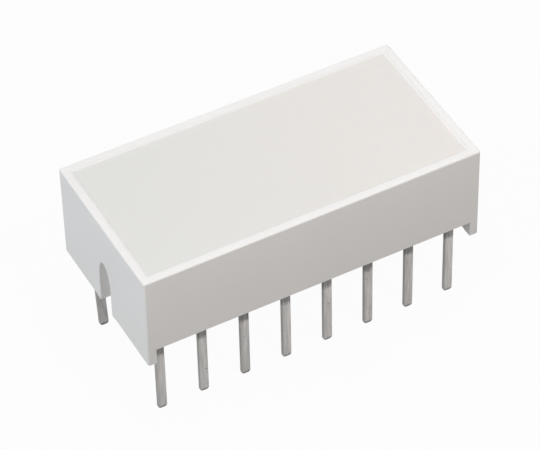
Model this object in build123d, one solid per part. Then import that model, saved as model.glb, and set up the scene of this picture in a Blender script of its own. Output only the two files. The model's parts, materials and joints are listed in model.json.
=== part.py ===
from build123d import *
from math import radians, tan
import os

# LED light bar in a sixteen-lead dual-in-line package, with one undivided light-emitting face.
# A white moulded housing, open above and below, surrounds a stamped lead frame. Eight
# light-emitting chips are glued to the frame and wired to it, and milky epoxy cast into the
# housing holds everything and forms the light-emitting face.
# +X runs along the long side, +Y across it and +Z up. The origin is the centre of the lead
# pattern on the seating plane, where the feet meet the circuit board.

# Lead pattern
lead_pitch = 2.54  # along each row
leads_per_row = 8
row_spacing = 7.62  # between the rows' centre planes
lead_width = 0.53  # along the row
lead_thickness = 0.254
lead_reach = 4.80  # from the seating plane down to the tips
bend_radius = 0.20  # inside each lead's bend
tip_radius = 0.16  # corners of each tip, seen along Y
bent_leads = {16: 5.5}  # lead number: degrees that its pin leans towards the middle

# Housing
end_overhang = 1.16  # from an end lead's centre out to the end face
side_overhang = 1.165  # from a row's centre plane out to the long face
body_height = 6.10  # from the seating plane up to the rim
rim_wall = 0.43  # wall thickness at the rim
wall_draft = 0.5  # degrees by which each inner face leans, so walls thicken downwards
stand_off = 1.05  # from the seating plane up to the long walls
foot_thickness = 0.50  # along X, at each end of the long walls
corner_radius = 0.12  # outer upright edges
cavity_corner_radius = 0.20
edge_bevel = 0.05  # outer edges of rim and feet

# End slots, one round-topped slot in each end face
slot_width = 1.30
slot_height = 3.26  # from the seating plane up to the crown's top
slot_crown = 1.36  # height of the crown, half an ellipse
slot_depth = 0.80
slot_wall = 0.41  # housing wall round the slot, inside the cavity
slot_bevel = 0.04  # round the slot's mouth

# Epoxy
face_recess = 0.08  # from the rim down to the light-emitting face
back_recess = 0.20  # from the long walls' lower edge up to the epoxy's underside

# Lead frame, chips and wires
frame_clearance = 0.75  # from the epoxy's underside up to the flat lead frame
chip_inset = 1.60  # from a row's centre plane in to its chips' centres
chip_size = 0.30
chip_height = 0.25
pad_margin = 0.30  # lead frame pad round each chip
frame_gap = 0.25  # between a chip's pad and its bond finger
stamped_bevel = 0.08  # corners of pads and bond fingers
glue_line = 0.03  # silver epoxy under each chip
glue_climb = 0.05  # and up its sides
glue_margin = 0.05
glue_slope = 30  # degrees by which the glue's sides lean in
wire_diameter = 0.03
ball_diameter = 0.09
ball_height = 0.03
wire_loop = 0.22  # from the ball up to the wire's knee
wire_knee_radius = 0.08
wire_landing = 0.25  # from the bond finger's end in to the wire's foot

# Derived sizes
body_length = (leads_per_row - 1) * lead_pitch + 2 * end_overhang
body_width = row_spacing + 2 * side_overhang
epoxy_bottom = stand_off + back_recess
epoxy_top = body_height - face_recess
frame_bottom = epoxy_bottom + frame_clearance
frame_top = frame_bottom + lead_thickness
pad_size = chip_size + 2 * pad_margin
chip_bottom = frame_top + glue_line
chip_top = chip_bottom + chip_height
chips_per_row = leads_per_row // 2


def at_height(z):
    return Plane.XY.offset(z)


def cavity():
    """The space inside the walls, right through the housing and narrowing downwards."""
    lean = body_height * tan(radians(wall_draft))
    mouth = RectangleRounded(
        body_length - 2 * rim_wall, body_width - 2 * rim_wall, cavity_corner_radius
    )
    base = RectangleRounded(
        body_length - 2 * (rim_wall + lean),
        body_width - 2 * (rim_wall + lean),
        cavity_corner_radius,
    )
    return loft([at_height(0) * base, at_height(body_height) * mouth], ruled=True)


def arch(margin):
    """The slot's space, larger by the margin, on the seating plane from X = 0 towards +X."""
    wide, sides = slot_width + 2 * margin, slot_height - slot_crown
    outline = Pos(0, sides / 2) * Rectangle(wide, sides)
    outline += Pos(0, sides) * Ellipse(wide / 2, slot_crown + margin)
    return extrude(Plane.YZ * outline, slot_depth + margin)


def both_ends(shape):
    """The shape set into the end face at -X, and its mirror image at +X."""
    left = Pos(-body_length / 2, 0, 0) * shape
    return left + mirror(left, about=Plane.YZ)


def slot_bosses():
    return both_ends(arch(slot_wall))


def housing():
    outline = RectangleRounded(body_length, body_width, corner_radius)
    block = extrude(outline, body_height)
    ends = block.faces().sort_by(Axis.Z)
    block = chamfer(ends[0].edges() + ends[-1].edges(), edge_bevel)
    under_long_walls = Box(
        body_length - 2 * foot_thickness,
        body_width,
        stand_off,
        align=(Align.CENTER, Align.CENTER, Align.MIN),
    )
    walls = block - cavity() - under_long_walls + slot_bosses()
    slotted = walls - both_ends(arch(0))
    by_end = slotted.edges().group_by(Axis.X)
    mouths = [
        edge
        for edge in by_end[0] + by_end[-1]
        if abs(edge.center().Y) < slot_width and edge_bevel < edge.center().Z < slot_height
    ]
    return chamfer(mouths, slot_bevel)


def row_of(number):
    """-1 for a lead of the row at -Y, 1 for one of the row at +Y."""
    return -1 if number <= leads_per_row else 1


def place_in_row(number):
    """0 for the lead of its row nearest -X. Numbers run anticlockwise, seen from above."""
    return number - 1 if row_of(number) < 0 else 2 * leads_per_row - number


def along_row(place):
    return (place - (leads_per_row - 1) / 2) * lead_pitch


def across(row, inward):
    """Y of a point that lies inward of a row's centre plane."""
    return row * (row_spacing / 2 - inward)


def is_cathode(place):
    return place % 4 in (0, 3)


def chip_x(pair):
    return along_row(2 * pair + 0.5)


def bent_strip(number):
    """The lead seen along X: a flat stretch, a bend and a pin, as one strip of metal."""
    row, half = row_of(number), lead_thickness / 2
    inner_end = chip_inset + pad_size / 2
    shift = (epoxy_bottom + lead_reach) * tan(radians(bent_leads.get(number, 0)))
    corners = [
        (-half, epoxy_bottom),
        (-half, frame_top),
        (inner_end, frame_top),
        (inner_end, frame_bottom),
        (half, frame_bottom),
        (half, epoxy_bottom),
        (half + shift, -lead_reach),
        (-half + shift, -lead_reach),
    ]
    points = [(across(row, inward), z) for inward, z in corners]
    outline = make_face(Polyline(*points, close=True))
    for corner, radius in ((points[1], bend_radius + lead_thickness), (points[4], bend_radius)):
        outline = fillet(outline.vertices().sort_by_distance(corner)[0], radius)
    return extrude(Plane.YZ * outline, lead_width / 2, both=True)


def lead(number):
    """A formed lead. A cathode ends in the pad that carries a chip, an anode in a bond finger."""
    row, place = row_of(number), place_in_row(number)
    x, chip = along_row(place), chip_x(place // 2)
    towards = 1 if chip > x else -1
    strip = Pos(x, 0, 0) * bent_strip(number)
    tip = strip.faces().sort_by(Axis.Z)[0]
    strip = fillet(tip.edges().sort_by(SortBy.LENGTH)[:2], tip_radius)
    if is_cathode(place):
        flag_end = chip + towards * pad_size / 2
    else:
        flag_end = chip - towards * (pad_size / 2 + frame_gap)
    flag_start = x - towards * lead_width / 2
    flag = extrude(Rectangle(abs(flag_end - flag_start), pad_size), lead_thickness)
    flag = Pos((flag_start + flag_end) / 2, across(row, chip_inset), frame_bottom) * flag
    formed = strip + flag
    corners = formed.edges().filter_by(Axis.Z).filter_by_position(
        Axis.Z, frame_bottom, frame_top
    )
    ends = corners.sort_by_distance((flag_end, across(row, chip_inset), frame_bottom))[:2]
    return chamfer(ends, stamped_bevel)


def block(size, height):
    return extrude(Rectangle(size, size), height)


def chip(pair, row):
    return Pos(chip_x(pair), across(row, chip_inset), chip_bottom) * block(chip_size, chip_height)


def die_attach(pair, row):
    """Silver epoxy under a chip and a little way up its sides."""
    height = glue_line + glue_climb
    foot = chip_size + 2 * glue_margin
    lean = 2 * height * tan(radians(glue_slope))
    bead = loft([Rectangle(foot, foot), at_height(height) * Rectangle(foot - lean, foot - lean)])
    bead = Pos(chip_x(pair), across(row, chip_inset), frame_top) * bead
    return bead - chip(pair, row)


def bond_wire(pair, row):
    """A ball on the chip, a wire that rises from it, turns over a knee and lands on the finger."""
    outward = 1 if is_cathode(2 * pair) else -1
    ball_top = chip_top + ball_height
    landing = pad_size / 2 + frame_gap + wire_landing
    knee = (0, 0, ball_top + wire_loop)
    foot = (outward * landing, 0, frame_top - wire_diameter)
    route = FilletPolyline((0, 0, chip_top), knee, foot, radius=wire_knee_radius)
    section = at_height(chip_top) * RegularPolygon(wire_diameter / 2, 6, rotation=30)
    wire = split(sweep(section, path=route), bisect_by=at_height(frame_top), keep=Keep.TOP)
    ball = at_height(chip_top) * RegularPolygon(ball_diameter / 2, 12)
    return Pos(chip_x(pair), across(row, chip_inset), 0) * (wire + extrude(ball, ball_height))


def epoxy(inner_pieces):
    """The cast fill: the space inside the housing, less all that it is cast round."""
    cast = Box(
        body_length,
        body_width,
        epoxy_top - epoxy_bottom,
        align=(Align.CENTER, Align.CENTER, Align.MIN),
    )
    cast = cavity() & (Pos(0, 0, epoxy_bottom) * cast)
    return cast - slot_bosses() - inner_pieces


pieces = {"housing": housing()}
for number in range(1, 2 * leads_per_row + 1):
    pieces[f"lead_{number:02d}"] = lead(number)
for row in (-1, 1):
    for pair in range(chips_per_row):
        serial = pair + 1 + (chips_per_row if row > 0 else 0)
        pieces[f"led_chip_{serial}"] = chip(pair, row)
        pieces[f"die_attach_{serial}"] = die_attach(pair, row)
        pieces[f"bond_wire_{serial}"] = bond_wire(pair, row)
pieces["epoxy_fill"] = epoxy([piece for name, piece in pieces.items() if name != "housing"])

os.makedirs("parts", exist_ok=True)
for name, piece in pieces.items():
    export_step(piece, f"parts/{name}.step")
    print(f"{name}: {len(piece.solids())} solid, {piece.volume:.4f} mm3")
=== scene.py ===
import json
from math import cos, radians, sin

import bmesh
import bpy
from mathutils import Matrix, Vector, noise


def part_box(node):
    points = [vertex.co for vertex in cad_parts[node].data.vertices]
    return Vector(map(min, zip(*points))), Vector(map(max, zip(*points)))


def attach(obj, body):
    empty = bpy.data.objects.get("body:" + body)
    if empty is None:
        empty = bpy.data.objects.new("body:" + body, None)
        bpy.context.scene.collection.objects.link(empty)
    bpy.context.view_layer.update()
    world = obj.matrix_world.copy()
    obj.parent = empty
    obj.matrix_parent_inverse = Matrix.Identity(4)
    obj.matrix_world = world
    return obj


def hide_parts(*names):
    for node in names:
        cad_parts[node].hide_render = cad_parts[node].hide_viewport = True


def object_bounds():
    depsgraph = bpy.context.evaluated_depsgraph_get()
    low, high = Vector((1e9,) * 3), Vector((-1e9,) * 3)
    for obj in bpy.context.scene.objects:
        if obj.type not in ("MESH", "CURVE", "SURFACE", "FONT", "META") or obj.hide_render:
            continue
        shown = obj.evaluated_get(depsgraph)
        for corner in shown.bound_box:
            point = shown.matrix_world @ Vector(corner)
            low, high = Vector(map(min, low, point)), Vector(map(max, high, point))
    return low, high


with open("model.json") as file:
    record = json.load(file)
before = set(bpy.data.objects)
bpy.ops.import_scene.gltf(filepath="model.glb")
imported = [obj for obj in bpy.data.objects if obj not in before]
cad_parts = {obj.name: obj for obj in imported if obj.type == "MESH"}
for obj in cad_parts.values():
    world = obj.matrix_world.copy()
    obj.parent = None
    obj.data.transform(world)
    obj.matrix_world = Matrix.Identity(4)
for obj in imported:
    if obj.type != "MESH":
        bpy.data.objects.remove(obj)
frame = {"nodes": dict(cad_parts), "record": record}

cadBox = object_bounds()
slotOf = {part["node"]: part["material_slot"] for part in frame["record"]["subparts"]}
leads = sorted(name for name in frame["nodes"] if name.startswith("lead_"))
epoxyLow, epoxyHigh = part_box("epoxy_fill")
mm = 0.001  # sizes in the dictionaries are in millimetres, and Blender works in metres
samePlaceMm = 0.0005  # corners nearer than this to each other are one corner
pureWhite = (1, 1, 1, 1)
print("frame loaded:", len(frame["nodes"]), "nodes,", len(leads), "of them leads")

# A Mix node has one pair of sockets for numbers and one for colours, and calls both pairs A and B,
# so here they go by number.
numberA, numberB, colourA, colourB = 2, 3, 6, 7
mixedNumber, mixedColour = 0, 2


def linear(hexColour):
    # sRGB hex, as a paint program shows it, to the linear colour that shaders use
    shown = [int(hexColour[i:i + 2], 16) / 255 for i in (1, 3, 5)]
    light = [c / 12.92 if c <= 0.04045 else ((c + 0.055) / 1.055) ** 2.4 for c in shown]
    return (*light, 1.0)


def addNode(tree, kind, settings=None, links=None):
    # settings are the node's own options or the values of its sockets, and links bring what
    # other nodes give
    node = tree.nodes.new(kind)
    for key, value in (settings or {}).items():
        if isinstance(key, str) and hasattr(node, key):
            setattr(node, key, value)
        else:
            node.inputs[key].default_value = value
    for key, source in (links or {}).items():
        tree.links.new(source, node.inputs[key])
    return node


def newMaterial(name):
    material = bpy.data.materials.new(name)
    material.use_nodes = True
    material.node_tree.nodes.clear()
    return material, material.node_tree


def scaleFor(sizeMm):
    return 1 / (sizeMm * mm)  # a texture's Scale for features of that size


def addPiece(name, mesh, slot, stands=()):
    piece = bpy.data.objects.new(name, mesh)
    bpy.context.scene.collection.objects.link(piece)
    mesh.materials.clear()
    mesh.materials.append(finishes[slot])
    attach(piece, "root")
    if stands:
        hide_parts(*stands)
    return piece


def whitePolycarbonate():
    # Polycarbonate filled with titanium white, moulded in a spark-eroded tool: dense and bright,
    # with faint clouds where the melt flowed and a satin sheen that the tool's grain breaks up.
    # The grain is drawn coarser than the real one, so that it shows.
    look = {"colour": "#f2f1ef", "flowColour": "#ecebe9", "flowMm": 5.0, "flowDetail": 3.0,
            "grainMm": 0.12, "grainDetail": 4.0, "grainHeightMm": 0.004, "grainStrength": 0.6,
            "roughness": 0.45, "ior": 1.58}
    material, tree = newMaterial("whitePolycarbonate")
    spot = addNode(tree, "ShaderNodeTexCoord").outputs["Object"]
    flow = addNode(tree, "ShaderNodeTexNoise",
                   {"Scale": scaleFor(look["flowMm"]), "Detail": look["flowDetail"]},
                   {"Vector": spot})
    colour = addNode(tree, "ShaderNodeMix",
                     {"data_type": "RGBA", colourA: linear(look["colour"]),
                      colourB: linear(look["flowColour"])},
                     {"Factor": flow.outputs["Fac"]})
    grain = addNode(tree, "ShaderNodeTexNoise",
                    {"Scale": scaleFor(look["grainMm"]), "Detail": look["grainDetail"]},
                    {"Vector": spot})
    bump = addNode(tree, "ShaderNodeBump",
                   {"Strength": look["grainStrength"], "Distance": look["grainHeightMm"] * mm},
                   {"Height": grain.outputs["Fac"]})
    plastic = addNode(tree, "ShaderNodeBsdfPrincipled",
                      {"Roughness": look["roughness"], "IOR": look["ior"]},
                      {"Base Color": colour.outputs[mixedColour],
                       "Normal": bump.outputs["Normal"]})
    addNode(tree, "ShaderNodeOutputMaterial", links={"Surface": plastic.outputs["BSDF"]})
    return material


def besideWalls(tree, spot, wallMm):
    # 1 where the epoxy ends at the housing's outer walls, down to 0 at wallMm from them
    mirrored = addNode(tree, "ShaderNodeVectorMath", {"operation": "ABSOLUTE"}, {0: spot})
    beyond = addNode(tree, "ShaderNodeVectorMath", {"operation": "SUBTRACT", 1: epoxyHigh},
                     {0: mirrored.outputs["Vector"]})
    ways = addNode(tree, "ShaderNodeSeparateXYZ", links={"Vector": beyond.outputs["Vector"]})
    nearer = addNode(tree, "ShaderNodeMath", {"operation": "MAXIMUM"},
                     {0: ways.outputs["X"], 1: ways.outputs["Y"]})
    share = addNode(tree, "ShaderNodeMapRange", {"From Min": -wallMm * mm, "From Max": 0.0},
                    {"Value": nearer.outputs["Value"]})
    return share.outputs["Result"]


def milkyEpoxy():
    # Casting epoxy clouded with fine white diffusant: a flat, chalky face, a little warmer towards
    # the end where the filler settled, with soft clouds and tiny pits left by air. All round,
    # beside the white housing's walls, it is painted paler: painted light for what the housing
    # sends back through it.
    look = {"coolColour": "#dcdeda", "warmColour": "#e9e4e0", "driftMm": 7.0, "driftDetail": 2.0,
            "driftShare": 0.25, "cloudColour": "#e3dfdc", "cloudMm": 0.45, "cloudDetail": 5.0,
            "cloudFrom": 0.45, "cloudTo": 0.75, "cloudShare": 0.5, "wallColour": "#f4f4f4",
            "wallMm": 0.17, "pitMm": 0.16, "pitDetail": 3.0, "pitHeightMm": 0.004,
            "pitStrength": 0.5, "roughness": 0.68, "ior": 1.54}
    material, tree = newMaterial("milkyEpoxy")
    spot = addNode(tree, "ShaderNodeTexCoord").outputs["Object"]
    axes = addNode(tree, "ShaderNodeSeparateXYZ", links={"Vector": spot})
    settled = addNode(tree, "ShaderNodeMapRange",
                      {"From Min": epoxyLow.x, "From Max": epoxyHigh.x, "clamp": False},
                      {"Value": axes.outputs["X"]})
    drift = addNode(tree, "ShaderNodeTexNoise",
                    {"Scale": scaleFor(look["driftMm"]), "Detail": look["driftDetail"]},
                    {"Vector": spot})
    warmth = addNode(tree, "ShaderNodeMix", {"Factor": look["driftShare"]},
                     {numberA: settled.outputs["Result"], numberB: drift.outputs["Fac"]})
    tone = addNode(tree, "ShaderNodeMix",
                   {"data_type": "RGBA", colourA: linear(look["coolColour"]),
                    colourB: linear(look["warmColour"])},
                   {"Factor": warmth.outputs[mixedNumber]})
    clouds = addNode(tree, "ShaderNodeTexNoise",
                     {"Scale": scaleFor(look["cloudMm"]), "Detail": look["cloudDetail"]},
                     {"Vector": spot})
    share = addNode(tree, "ShaderNodeMapRange",
                    {"From Min": look["cloudFrom"], "From Max": look["cloudTo"],
                     "To Max": look["cloudShare"]},
                    {"Value": clouds.outputs["Fac"]})
    clouded = addNode(tree, "ShaderNodeMix",
                      {"data_type": "RGBA", colourB: linear(look["cloudColour"])},
                      {"Factor": share.outputs["Result"], colourA: tone.outputs[mixedColour]})
    # painted light: a paler band beside the housing's walls, which also hides the shade at the
    # step of the rim
    colour = addNode(tree, "ShaderNodeMix",
                     {"data_type": "RGBA", colourB: linear(look["wallColour"])},
                     {"Factor": besideWalls(tree, spot, look["wallMm"]),
                      colourA: clouded.outputs[mixedColour]})
    pits = addNode(tree, "ShaderNodeTexNoise",
                   {"Scale": scaleFor(look["pitMm"]), "Detail": look["pitDetail"]},
                   {"Vector": spot})
    bump = addNode(tree, "ShaderNodeBump",
                   {"Strength": look["pitStrength"], "Distance": look["pitHeightMm"] * mm},
                   {"Height": pits.outputs["Fac"]})
    resin = addNode(tree, "ShaderNodeBsdfPrincipled",
                    {"Roughness": look["roughness"], "IOR": look["ior"]},
                    {"Base Color": colour.outputs[mixedColour], "Normal": bump.outputs["Normal"]})
    addNode(tree, "ShaderNodeOutputMaterial", links={"Surface": resin.outputs["BSDF"]})
    return material


def bareMetalAndRootShade(tree, spot, facingUp, wear):
    # how much of the tin is missing, in specks and on the cut tips, and a ragged dark band of
    # painted shade just below the housing, where the body's shadow falls on the pins
    bareAndShade = {"blotchMm": 0.17, "blotchDetail": 2.0, "speckFrom": 0.64, "speckTo": 0.85,
            "cutMm": 0.14, "cutSoftMm": 0.08, "dipMm": -0.66, "dipSoftMm": 0.15,
            "dipRaggedMm": 0.6, "undippedShare": 0.82, "leastShare": 0.7}
    height = addNode(tree, "ShaderNodeSeparateXYZ", links={"Vector": spot}).outputs["Z"]
    blotches = addNode(tree, "ShaderNodeTexNoise",
                       {"Scale": scaleFor(bareAndShade["blotchMm"]), "Detail": bareAndShade["blotchDetail"]},
                       {"Vector": spot})
    specks = addNode(tree, "ShaderNodeMapRange",
                     {"From Min": bareAndShade["speckFrom"], "From Max": bareAndShade["speckTo"]},
                     {"Value": blotches.outputs["Fac"]})
    cutTop, cutSoft = cadBox[0].z + bareAndShade["cutMm"] * mm, bareAndShade["cutSoftMm"] * mm
    cut = addNode(tree, "ShaderNodeMapRange",
                  {"From Min": cutTop + cutSoft, "From Max": cutTop - cutSoft}, {"Value": height})
    ragged = addNode(tree, "ShaderNodeMath",
                     {"operation": "MULTIPLY_ADD", 1: bareAndShade["dipRaggedMm"] * mm},
                     {0: blotches.outputs["Fac"], 2: height})
    # painted shade: a ragged dark band on the pins just below the housing, where the body shades
    # them
    rootShadeLine, rootShadeSoft = (bareAndShade["dipMm"] + bareAndShade["dipRaggedMm"] / 2) * mm, bareAndShade["dipSoftMm"] * mm
    rootShade = addNode(tree, "ShaderNodeMapRange",
                       {"From Min": rootShadeLine - rootShadeSoft, "From Max": rootShadeLine + rootShadeSoft,
                        "To Max": bareAndShade["undippedShare"]},
                       {"Value": ragged.outputs["Value"]})
    underside = addNode(tree, "ShaderNodeMath", {"operation": "MULTIPLY", 1: -1.0}, {0: facingUp})
    most = specks.outputs["Result"]
    for other in (cut.outputs["Result"], rootShade.outputs["Result"], underside.outputs["Value"]):
        larger = addNode(tree, "ShaderNodeMath", {"operation": "MAXIMUM"}, {0: most, 1: other})
        most = larger.outputs["Value"]
    patchy = addNode(tree, "ShaderNodeMapRange", {"To Min": bareAndShade["leastShare"], "To Max": 1.0},
                     {"Value": wear})
    amount = addNode(tree, "ShaderNodeMath", {"operation": "MULTIPLY"},
                     {0: most, 1: patchy.outputs["Result"]})
    return amount.outputs["Value"]


def tinPlate():
    # Pins dipped in tin after moulding: a soft grey that is half mirror and half chalk, drawn out
    # along each pin by the rolling marks and a little different from pin to pin. It is darker on
    # the sheared sides, partly the sheared metal's own tone and partly painted shade, and has dark
    # specks. It shows untinned metal where the tips were cut off last. A ragged dark band in the
    # same colour just below the housing is painted shade from the body above.
    look = {"colour": "#dfdddb", "streakColour": "#b4b2b0", "shearedColour": "#a8a6a4",
            "bareColour": "#575553", "streakMm": 0.11, "streakLengthMm": 1.6, "streakDetail": 3.0,
            "pinMm": 2.7, "pinDetail": 1.0, "pinShare": 0.5, "wearFrom": 0.35, "wearTo": 0.65,
            "grainMm": 0.05, "grainDetail": 3.0, "grainHeightMm": 0.004, "grainStrength": 0.5,
            "metallic": 0.7, "smooth": 0.36, "dull": 0.5}
    material, tree = newMaterial("tinPlate")
    place = addNode(tree, "ShaderNodeTexCoord")
    spot = place.outputs["Object"]
    facing = addNode(tree, "ShaderNodeSeparateXYZ", links={"Vector": place.outputs["Normal"]})
    stretch = addNode(tree, "ShaderNodeMapping",
                      {"Scale": (1, 1, look["streakMm"] / look["streakLengthMm"])},
                      {"Vector": spot})
    streaks = addNode(tree, "ShaderNodeTexNoise",
                      {"Scale": scaleFor(look["streakMm"]), "Detail": look["streakDetail"]},
                      {"Vector": stretch.outputs["Vector"]})
    eachPin = addNode(tree, "ShaderNodeTexNoise",
                      {"Scale": scaleFor(look["pinMm"]), "Detail": look["pinDetail"]},
                      {"Vector": stretch.outputs["Vector"]})
    both = addNode(tree, "ShaderNodeMix", {"Factor": look["pinShare"]},
                   {numberA: streaks.outputs["Fac"], numberB: eachPin.outputs["Fac"]})
    wear = addNode(tree, "ShaderNodeMapRange",
                   {"From Min": look["wearFrom"], "From Max": look["wearTo"]},
                   {"Value": both.outputs[mixedNumber]}).outputs["Result"]
    plated = addNode(tree, "ShaderNodeMix",
                     {"data_type": "RGBA", colourA: linear(look["colour"]),
                      colourB: linear(look["streakColour"])},
                     {"Factor": wear})
    # darker where the face turns sideways, to ±X: partly the sheared metal's own tone, partly
    # painted shade
    side = addNode(tree, "ShaderNodeMath", {"operation": "ABSOLUTE"}, {0: facing.outputs["X"]})
    shearedAndShaded = addNode(tree, "ShaderNodeMix",
                      {"data_type": "RGBA", colourB: linear(look["shearedColour"])},
                      {"Factor": side.outputs["Value"], colourA: plated.outputs[mixedColour]})
    colour = addNode(tree, "ShaderNodeMix",
                     {"data_type": "RGBA", colourB: linear(look["bareColour"])},
                     {"Factor": bareMetalAndRootShade(tree, spot, facing.outputs["Z"], wear),
                      colourA: shearedAndShaded.outputs[mixedColour]})
    rough = addNode(tree, "ShaderNodeMapRange", {"To Min": look["smooth"], "To Max": look["dull"]},
                    {"Value": wear})
    grain = addNode(tree, "ShaderNodeTexNoise",
                    {"Scale": scaleFor(look["grainMm"]), "Detail": look["grainDetail"]},
                    {"Vector": spot})
    bump = addNode(tree, "ShaderNodeBump",
                   {"Strength": look["grainStrength"], "Distance": look["grainHeightMm"] * mm},
                   {"Height": grain.outputs["Fac"]})
    metal = addNode(tree, "ShaderNodeBsdfPrincipled", {"Metallic": look["metallic"]},
                    {"Base Color": colour.outputs[mixedColour],
                     "Roughness": rough.outputs["Result"], "Normal": bump.outputs["Normal"]})
    addNode(tree, "ShaderNodeOutputMaterial", links={"Surface": metal.outputs["BSDF"]})
    return material


def sawnCrystal():
    # Gallium phosphide sawn into dice: amber brown, with darker saw marks.
    look = {"colour": "#7a5a34", "markColour": "#4f3a22", "markMm": 0.02, "markDetail": 2.0,
            "roughness": 0.25, "ior": 3.2}
    material, tree = newMaterial("sawnCrystal")
    spot = addNode(tree, "ShaderNodeTexCoord").outputs["Object"]
    marks = addNode(tree, "ShaderNodeTexNoise",
                    {"Scale": scaleFor(look["markMm"]), "Detail": look["markDetail"]},
                    {"Vector": spot})
    colour = addNode(tree, "ShaderNodeMix",
                     {"data_type": "RGBA", colourA: linear(look["colour"]),
                      colourB: linear(look["markColour"])},
                     {"Factor": marks.outputs["Fac"]})
    crystal = addNode(tree, "ShaderNodeBsdfPrincipled",
                      {"Roughness": look["roughness"], "IOR": look["ior"]},
                      {"Base Color": colour.outputs[mixedColour]})
    addNode(tree, "ShaderNodeOutputMaterial", links={"Surface": crystal.outputs["BSDF"]})
    return material


def silverEpoxy():
    # Epoxy filled with silver flake and cured: grey, with a sparkle from the flakes.
    look = {"colour": "#b9b8b4", "binderColour": "#8c8983", "flakeMm": 0.02, "roughness": 0.5,
            "metallic": 0.7}
    material, tree = newMaterial("silverEpoxy")
    spot = addNode(tree, "ShaderNodeTexCoord").outputs["Object"]
    flakes = addNode(tree, "ShaderNodeTexVoronoi", {"Scale": scaleFor(look["flakeMm"])},
                     {"Vector": spot})
    colour = addNode(tree, "ShaderNodeMix",
                     {"data_type": "RGBA", colourA: linear(look["colour"]),
                      colourB: linear(look["binderColour"])},
                     {"Factor": flakes.outputs["Distance"]})
    paste = addNode(tree, "ShaderNodeBsdfPrincipled",
                    {"Roughness": look["roughness"], "Metallic": look["metallic"]},
                    {"Base Color": colour.outputs[mixedColour]})
    addNode(tree, "ShaderNodeOutputMaterial", links={"Surface": paste.outputs["BSDF"]})
    return material


def drawnGold():
    # Fine gold wire drawn through a die: bright yellow, with faint darker marks that the die left,
    # drawn coarser than the real ones.
    look = {"colour": "#e2b35a", "drawnColour": "#c99a45", "drawnMm": 0.01, "roughness": 0.22}
    material, tree = newMaterial("drawnGold")
    spot = addNode(tree, "ShaderNodeTexCoord").outputs["Object"]
    drawn = addNode(tree, "ShaderNodeTexNoise", {"Scale": scaleFor(look["drawnMm"])},
                    {"Vector": spot})
    colour = addNode(tree, "ShaderNodeMix",
                     {"data_type": "RGBA", colourA: linear(look["colour"]),
                      colourB: linear(look["drawnColour"])},
                     {"Factor": drawn.outputs["Fac"]})
    wire = addNode(tree, "ShaderNodeBsdfPrincipled",
                   {"Roughness": look["roughness"], "Metallic": 1.0},
                   {"Base Color": colour.outputs[mixedColour]})
    addNode(tree, "ShaderNodeOutputMaterial", links={"Surface": wire.outputs["BSDF"]})
    return material


finishes = {"housing_plastic": whitePolycarbonate(), "milky_epoxy": milkyEpoxy(),
            "tinned_lead": tinPlate(), "semiconductor": sawnCrystal(),
            "silver_epoxy": silverEpoxy(), "gold_wire": drawnGold()}
for node, solid in frame["nodes"].items():
    solid.data.materials.clear()
    solid.data.materials.append(finishes[slotOf[node]])
print("materials:", ", ".join(material.name for material in finishes.values()))

# The housing and the leads again, with the edges that moulding and stamping leave.
softEdges = {"housingMm": 0.03, "leadMm": 0.055, "segments": 3, "sharperThanDeg": 32,
             "flatWithinDeg": 1}


def softened(node, name, edgeMm):
    mesh = frame["nodes"][node].data.copy()
    piece = addPiece(name, mesh, slotOf[node], [node])
    weld = piece.modifiers.new("weld", "WELD")
    weld.merge_threshold = samePlaceMm * mm
    whole = piece.modifiers.new("wholeFaces", "DECIMATE")
    whole.decimate_type = "DISSOLVE"
    whole.angle_limit = radians(softEdges["flatWithinDeg"])
    worn = piece.modifiers.new("roundedEdges", "BEVEL")
    worn.width = edgeMm * mm
    worn.segments = softEdges["segments"]
    worn.limit_method = "ANGLE"
    worn.angle_limit = radians(softEdges["sharperThanDeg"])
    worn.harden_normals = True
    mesh.shade_smooth()


softened("housing", "mouldedHousing", softEdges["housingMm"])
for lead in leads:
    softened(lead, "tinned" + lead.title().replace("_", ""), softEdges["leadMm"])
print("softened edges:", 1 + len(leads), "pieces")

# Epoxy wets what it is cast against and sets with a small concave edge all round it.
wetting = {"faceWidthMm": 0.22, "faceRiseMm": 0.07, "backWidthMm": 0.20, "backRiseMm": 0.15,
           "unevenness": 0.25, "unevenMm": 1.2, "spacingMm": 0.15, "steps": 6, "sunkMm": 0.01,
           "levelMm": 0.001}


def spaced(corners, outward):
    # points along the edge, about the spacing apart, each with the direction from the edge into
    # the face, which at a corner is the mitre
    points = []
    count = len(corners)
    for i, corner in enumerate(corners):
        before, after = corner - corners[i - 1], corners[(i + 1) % count] - corner
        inward = [outward.cross(side).normalized() for side in (before, after)]
        mitre = (inward[0] + inward[1]) / (1 + inward[0].dot(inward[1]))
        points.append((corner, mitre))
        parts = max(1, int(after.length / (wetting["spacingMm"] * mm)))
        points += [(corner + after * step / parts, inward[1]) for step in range(1, parts)]
    return points


def edgeLoops(node, z):
    # the closed edges of the node's flat face at that height, and the way that the face looks
    bm = bmesh.new()
    bm.from_mesh(frame["nodes"][node].data)
    bmesh.ops.remove_doubles(bm, verts=bm.verts, dist=samePlaceMm * mm)
    level = wetting["levelMm"] * mm
    for face in bm.faces:
        face.tag = all(abs(vert.co.z - z) < level for vert in face.verts)
    flat = [face for face in bm.faces if face.tag]
    outward = Vector((0, 0, 1 if flat[0].normal.z > 0 else -1))
    nextVert = {corner.vert: corner.link_loop_next.vert for face in flat for corner in face.loops
                if sum(other.tag for other in corner.edge.link_faces) == 1}
    loops = []
    while nextVert:
        vert = next(iter(nextVert))
        corners = []
        while vert in nextVert:
            corners.append(vert.co.copy())
            vert = nextVert.pop(vert)
        loops.append(spaced(corners, outward))
    bm.free()
    return loops, outward


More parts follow.
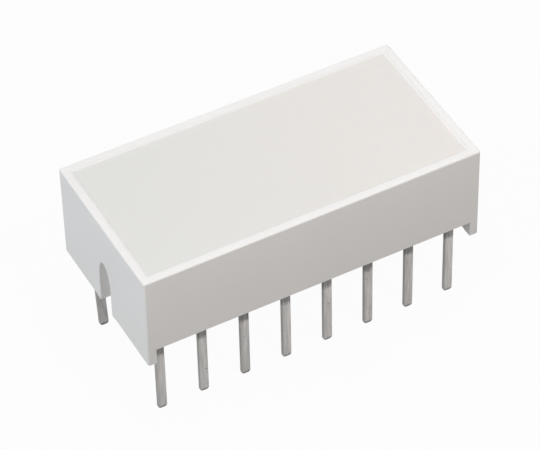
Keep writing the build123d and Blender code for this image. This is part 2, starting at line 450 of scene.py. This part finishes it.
def wettedEdge(bm, loop, outward, widthMm, riseMm):
    # one ring of epoxy, steep where it meets the wall and flattening into the face
    steps, sunk = wetting["steps"], outward * wetting["sunkMm"] * mm
    rings = [[bm.verts.new(point - sunk) for point, inward in loop]]
    for step in range(steps + 1):
        share = step / steps
        ring = []
        for point, inward in loop:
            wave = noise.noise(point * scaleFor(wetting["unevenMm"]))
            uneven = 1 + wetting["unevenness"] * wave
            height = riseMm * mm * (1 - share) ** 2 * min(1, uneven)
            place = point + inward * widthMm * mm * share * uneven + outward * height
            ring.append(bm.verts.new(place - sunk if step == steps else place))
        rings.append(ring)
    count = len(loop)
    for near, far in zip(rings, rings[1:] + rings[:1]):
        for i in range(count):
            bm.faces.new((near[i], near[(i + 1) % count], far[(i + 1) % count], far[i]))


for name, z, widthMm, riseMm in (
        ("epoxyWettedRim", epoxyHigh.z, wetting["faceWidthMm"], wetting["faceRiseMm"]),
        ("epoxyWettedBack", epoxyLow.z, wetting["backWidthMm"], wetting["backRiseMm"])):
    wetted = bmesh.new()
    loops, outward = edgeLoops("epoxy_fill", z)
    for loop in loops:
        wettedEdge(wetted, loop, outward, widthMm, riseMm)
    bmesh.ops.recalc_face_normals(wetted, faces=wetted.faces)
    mesh = bpy.data.meshes.new(name)
    wetted.to_mesh(mesh)
    wetted.free()
    mesh.shade_smooth()
    addPiece(name, mesh, "milky_epoxy")
    print(name + ":", len(loops), "wetted edges")

# A white room with a sheet of card for a floor.
studio = {"floorMm": 600, "floorColour": "#c4c4c4", "floorWhite": 0.96, "mirroredWhite": 0.6,
          "ambient": 0.17, "ambientColour": "#fafbfd"}


def shownWhite(tree, share):
    # how much pure white a ray is shown: the share from the camera or through glass, and less of
    # it off gloss
    path = addNode(tree, "ShaderNodeLightPath")
    clear = addNode(tree, "ShaderNodeMath", {"operation": "MAXIMUM"},
                    {0: path.outputs["Is Camera Ray"], 1: path.outputs["Is Transmission Ray"]})
    gloss = addNode(tree, "ShaderNodeMath", {"operation": "MULTIPLY", 1: studio["mirroredWhite"]},
                    {0: path.outputs["Is Glossy Ray"]})
    either = addNode(tree, "ShaderNodeMath", {"operation": "MAXIMUM"},
                     {0: clear.outputs["Value"], 1: gloss.outputs["Value"]})
    shown = addNode(tree, "ShaderNodeMath", {"operation": "MULTIPLY", 1: share},
                    {0: either.outputs["Value"]})
    return shown.outputs["Value"]


def mattCard():
    # Uncoated card: quite matt, shown nearly pure white, and it keeps a trace of shadow.
    material, tree = newMaterial("mattCard")
    lit = addNode(tree, "ShaderNodeBsdfDiffuse", {"Color": linear(studio["floorColour"])})
    white = addNode(tree, "ShaderNodeEmission", {"Color": pureWhite, "Strength": 1.0})
    shown = addNode(tree, "ShaderNodeMixShader", {},
                    {0: shownWhite(tree, studio["floorWhite"]), 1: lit.outputs["BSDF"],
                     2: white.outputs["Emission"]})
    addNode(tree, "ShaderNodeOutputMaterial", links={"Surface": shown.outputs["Shader"]})
    return material


def whiteRoom():
    # Pale walls that light the object dimly from all sides and are shown pure white.
    room = bpy.data.worlds.new("whiteRoom")
    room.use_nodes = True
    tree = room.node_tree
    tree.nodes.clear()
    dim = addNode(tree, "ShaderNodeBackground",
                  {"Color": linear(studio["ambientColour"]), "Strength": studio["ambient"]})
    white = addNode(tree, "ShaderNodeBackground", {"Color": pureWhite, "Strength": 1.0})
    shown = addNode(tree, "ShaderNodeMixShader", {},
                    {0: shownWhite(tree, 1.0), 1: dim.outputs["Background"],
                     2: white.outputs["Background"]})
    addNode(tree, "ShaderNodeOutputWorld", links={"Surface": shown.outputs["Shader"]})
    return room


bpy.context.scene.world = whiteRoom()
cardMesh = bpy.data.meshes.new("floorCard")
half = studio["floorMm"] * mm / 2
cardCorners = [(x * half, y * half, cadBox[0].z) for x, y in ((-1, -1), (1, -1), (1, 1), (-1, 1))]
cardMesh.from_pydata(cardCorners, [], [(0, 1, 2, 3)])
cardMesh.materials.append(mattCard())
card = bpy.data.objects.new("floorCard", cardMesh)
bpy.context.scene.collection.objects.link(card)


def lookingIn(view, aimMm=(0, 0, 0)):
    # how a lamp or camera stands that looks in at the aim: azimuth 0 is in front, at -Y, and -90
    # is on the left, at -X
    azimuth, elevation = radians(view["azimuthDeg"]), radians(view["elevationDeg"])
    outward = Vector((sin(azimuth) * cos(elevation), -cos(azimuth) * cos(elevation),
                      sin(elevation)))
    place = (Vector(aimMm) + outward * view["distanceMm"]) * mm
    return Matrix.Translation(place) @ outward.to_track_quat("Z", "Y").to_matrix().to_4x4()


# Four softboxes: one overhead, a warm one in front, a cool one on the left and a weak fill behind.
lamps = {"overhead": {"azimuthDeg": 0, "elevationDeg": 88, "distanceMm": 180, "sizeMm": 110,
                      "watts": 0.096, "colour": "#f8fbff"},
         "frontKey": {"azimuthDeg": 12, "elevationDeg": 54, "distanceMm": 150, "sizeMm": 25,
                      "watts": 0.069, "colour": "#fff3e9"},
         "leftKey": {"azimuthDeg": -90, "elevationDeg": 33, "distanceMm": 200, "sizeMm": 110,
                     "watts": 0.171, "colour": "#f5faff"},
         "backFill": {"azimuthDeg": 128, "elevationDeg": 36, "distanceMm": 200, "sizeMm": 110,
                      "watts": 0.090, "colour": "#ffffff"}}
for name, lamp in lamps.items():
    light = bpy.data.lights.new(name, "AREA")
    light.size = lamp["sizeMm"] * mm
    light.energy = lamp["watts"]
    light.color = linear(lamp["colour"])[:3]
    holder = bpy.data.objects.new(name, light)
    holder.matrix_world = lookingIn(lamp)
    bpy.context.scene.collection.objects.link(holder)
print("lamps:", ", ".join(lamps))

# Three quarters from the left and above, through a long lens.
viewpoint = {"azimuthDeg": -27.51, "elevationDeg": 44.80, "rollDeg": 1.469, "distanceMm": 170.24,
             "aimMm": (-0.884, -1.522, 3.0), "lensMm": 212.82,
             "clipStartMm": 10, "clipEndMm": 2000}
camera = bpy.data.objects.new("camera", bpy.data.cameras.new("camera"))
camera.data.lens = viewpoint["lensMm"]
camera.data.clip_start = viewpoint["clipStartMm"] * mm
camera.data.clip_end = viewpoint["clipEndMm"] * mm
roll = Matrix.Rotation(-radians(viewpoint["rollDeg"]), 4, "Z")
camera.matrix_world = lookingIn(viewpoint, viewpoint["aimMm"]) @ roll
bpy.context.scene.collection.objects.link(camera)
bpy.context.scene.camera = camera
bpy.context.scene.view_settings.view_transform = "Standard"

print("light bar dressed")
